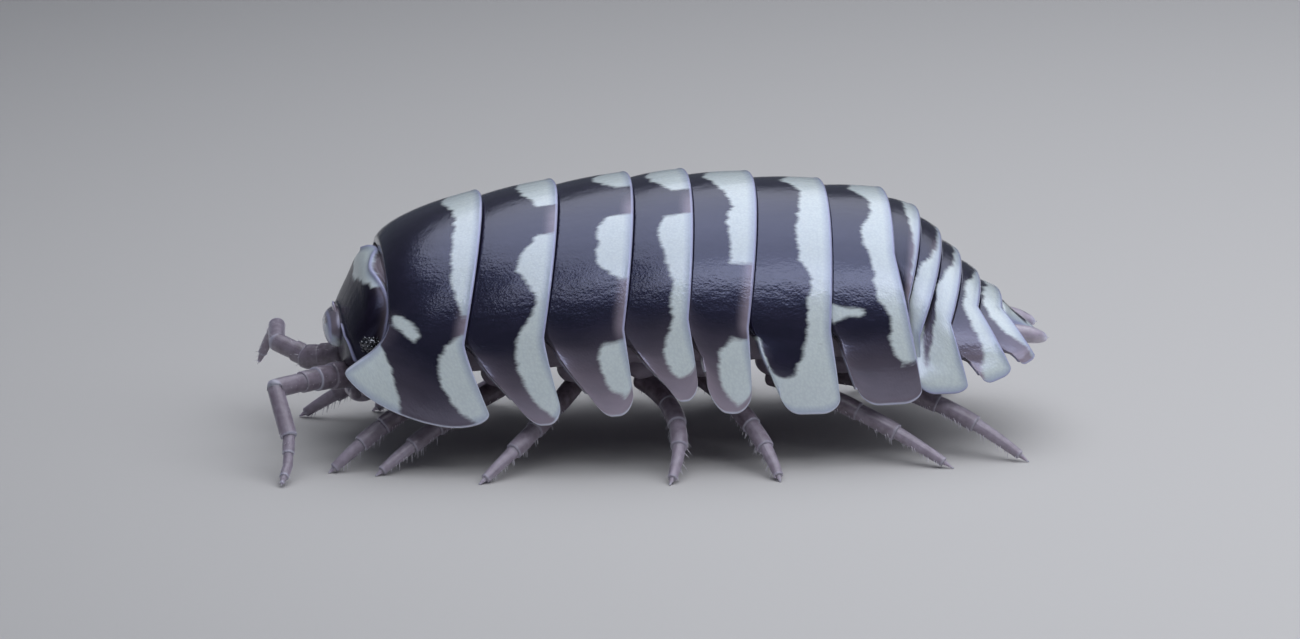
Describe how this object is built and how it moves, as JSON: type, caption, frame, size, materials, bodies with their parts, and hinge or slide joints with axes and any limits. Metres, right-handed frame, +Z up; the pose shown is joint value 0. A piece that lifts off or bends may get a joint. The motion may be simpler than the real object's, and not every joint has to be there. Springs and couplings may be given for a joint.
{
  "type": "woodlouse",
  "caption": "Life-size still model of a zebra-banded pill woodlouse, walking with its feelers held forward and down; arched overlapping shields, legs and tail plates.",
  "frame": {"origin": "on the floor, below the middle of the animal's bounding box, with all feet at z = 0", "axes": "+Z up; the long axis along X with the head towards -X; the animal's left side towards -Y"},
  "size_m": [0.0201, 0.0107, 0.0069],
  "materials": {
    "shield": "glossy purple-black chitin with pale blue-white rear bands and thin translucent lilac rims",
    "limb": "translucent lilac-grey chitin, paler towards the claws, with white joint rings",
    "eye": "wet black facets",
    "tail_blade": "pale translucent lilac chitin",
    "gill_flap": "soft pale flaps with white air-breathing patches"
  },
  "bodies": {
    "root": {"head": "shield", "mouthparts": "limb", "eye_left": "eye", "eye_right": "eye", "antenna_left": "limb", "antenna_right": "limb", "pereonite_1": "shield", "pereonite_2": "shield", "pereonite_3": "shield", "pereonite_4": "shield", "pereonite_5": "shield", "pereonite_6": "shield", "pereonite_7": "shield", "pleonite_1": "shield", "pleonite_2": "shield", "pleonite_3": "shield", "pleonite_4": "shield", "pleonite_5": "shield", "telson": "shield", "uropod_left": "tail_blade", "uropod_right": "tail_blade", "pleopods_left": "gill_flap", "pleopods_right": "gill_flap", "leg_left_1": "limb", "leg_left_2": "limb", "leg_left_3": "limb", "leg_left_4": "limb", "leg_left_5": "limb", "leg_left_6": "limb", "leg_left_7": "limb", "leg_right_1": "limb", "leg_right_2": "limb", "leg_right_3": "limb", "leg_right_4": "limb", "leg_right_5": "limb", "leg_right_6": "limb", "leg_right_7": "limb"}
  },
  "joints": []
}
